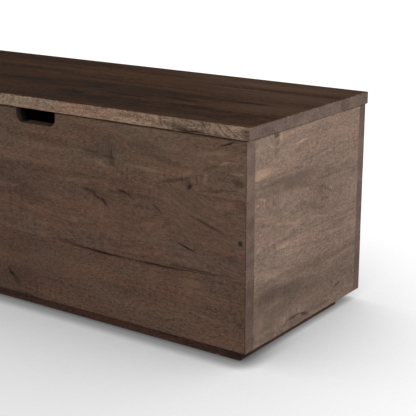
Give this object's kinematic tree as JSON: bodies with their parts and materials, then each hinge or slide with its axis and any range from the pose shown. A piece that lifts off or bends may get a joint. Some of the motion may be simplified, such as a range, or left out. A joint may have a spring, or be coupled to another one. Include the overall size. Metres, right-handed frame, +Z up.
{
  "type": "storage bench",
  "caption": "Long solid-wood storage bench: a plank box on a recessed plinth with a hinged lid, a finger slot in the front and gas struts inside.",
  "frame": {"origin": "on the floor, under the middle of the closed bench's bounding box", "axes": "+X along the bench to its right end, -Y towards the front with the finger slot, +Z up"},
  "size_m": [1.075, 0.4575, 0.457],
  "materials": {
    "front_boards": "matte smoke-brown stain, planed",
    "end_boards": "matte smoke-brown stain, planed",
    "lid_boards": "matte smoke-brown stain, planed",
    "inner_wood": "matte brown stain, rougher inside",
    "plinth_wood": "matte dark brown stain",
    "plugs": "dark filler",
    "hinge_steel": "satin",
    "screws": "zinc plated",
    "brads": "dark oxide",
    "strut_black": "satin black",
    "strut_rod": "ground and polished",
    "strut_sockets": "glass-filled nylon",
    "glides": "natural nylon",
    "bumpers": "soft grey rubber"
  },
  "bodies": {
    "case": {"front_board_lower": "front_boards", "front_board_middle": "front_boards", "front_board_upper": "front_boards", "back_board_lower": "inner_wood", "back_board_middle": "inner_wood", "back_board_upper": "inner_wood", "left_end_board_1": "end_boards", "left_end_board_2": "end_boards", "left_end_board_3": "end_boards", "left_end_board_4": "end_boards", "right_end_board_1": "end_boards", "right_end_board_2": "end_boards", "right_end_board_3": "end_boards", "right_end_board_4": "end_boards", "bottom_panel": "inner_wood", "plinth_front_rail": "plinth_wood", "plinth_back_rail": "plinth_wood", "plinth_left_rail": "plinth_wood", "plinth_right_rail": "plinth_wood", "plinth_cross_rail": "inner_wood", "plinth_corner_blocks": "inner_wood", "plinth_screws": "screws", "floor_glides": "glides", "corner_screws": "screws", "corner_plugs": "plugs", "corner_brads": "brads", "hinge_case_leaf_left": "hinge_steel", "hinge_case_leaf_centre": "hinge_steel", "hinge_case_leaf_right": "hinge_steel", "hinge_pins": "hinge_steel", "hinge_case_screws": "screws", "strut_case_bracket_left": "strut_black", "strut_case_bracket_right": "strut_black", "strut_case_screws": "screws"},
    "lid": {"lid_board_1": "lid_boards", "lid_board_2": "lid_boards", "lid_board_3": "lid_boards", "lid_board_4": "lid_boards", "lid_batten_left": "inner_wood", "lid_batten_right": "inner_wood", "batten_screws": "screws", "lid_bumpers": "bumpers", "hinge_lid_leaf_left": "hinge_steel", "hinge_lid_leaf_centre": "hinge_steel", "hinge_lid_leaf_right": "hinge_steel", "hinge_lid_screws": "screws", "strut_lid_bracket_left": "strut_black", "strut_lid_bracket_right": "strut_black", "strut_lid_screws": "screws"},
    "strut_tube_left": {"strut_cylinder_left": "strut_black", "cylinder_socket_left": "strut_sockets"},
    "strut_tube_right": {"strut_cylinder_right": "strut_black", "cylinder_socket_right": "strut_sockets"},
    "strut_rod_left": {"strut_rod_left": "strut_rod", "rod_socket_left": "strut_sockets"},
    "strut_rod_right": {"strut_rod_right": "strut_rod", "rod_socket_right": "strut_sockets"}
  },
  "joints": [
    {"name": "lid_hinge", "type": "hinge", "parent": "case", "child": "lid", "pos_m": [0, 0.22525, 0.431], "axis": [-1, 0, 0], "range_deg": [0, 80]},
    {"name": "tube_pivot_left", "type": "hinge", "parent": "case", "child": "strut_tube_left", "pos_m": [-0.493, 0.17551, 0.25752], "axis": [-1, 0, 0], "range_deg": [0, 40]},
    {"name": "tube_pivot_right", "type": "hinge", "parent": "case", "child": "strut_tube_right", "pos_m": [0.493, 0.17551, 0.25752], "axis": [-1, 0, 0], "range_deg": [0, 40]},
    {"name": "rod_pivot_left", "type": "hinge", "parent": "lid", "child": "strut_rod_left", "pos_m": [-0.493, 0.04525, 0.418], "axis": [-1, 0, 0], "range_deg": [-40, 0]},
    {"name": "rod_pivot_right", "type": "hinge", "parent": "lid", "child": "strut_rod_right", "pos_m": [0.493, 0.04525, 0.418], "axis": [-1, 0, 0], "range_deg": [-40, 0]}
  ],
  "couplings": [
    {"joint": "tube_pivot_left", "follows": "lid_hinge", "ratio": 0.5},
    {"joint": "tube_pivot_right", "follows": "lid_hinge", "ratio": 0.5},
    {"joint": "rod_pivot_left", "follows": "lid_hinge", "ratio": -0.5},
    {"joint": "rod_pivot_right", "follows": "lid_hinge", "ratio": -0.5}
  ]
}
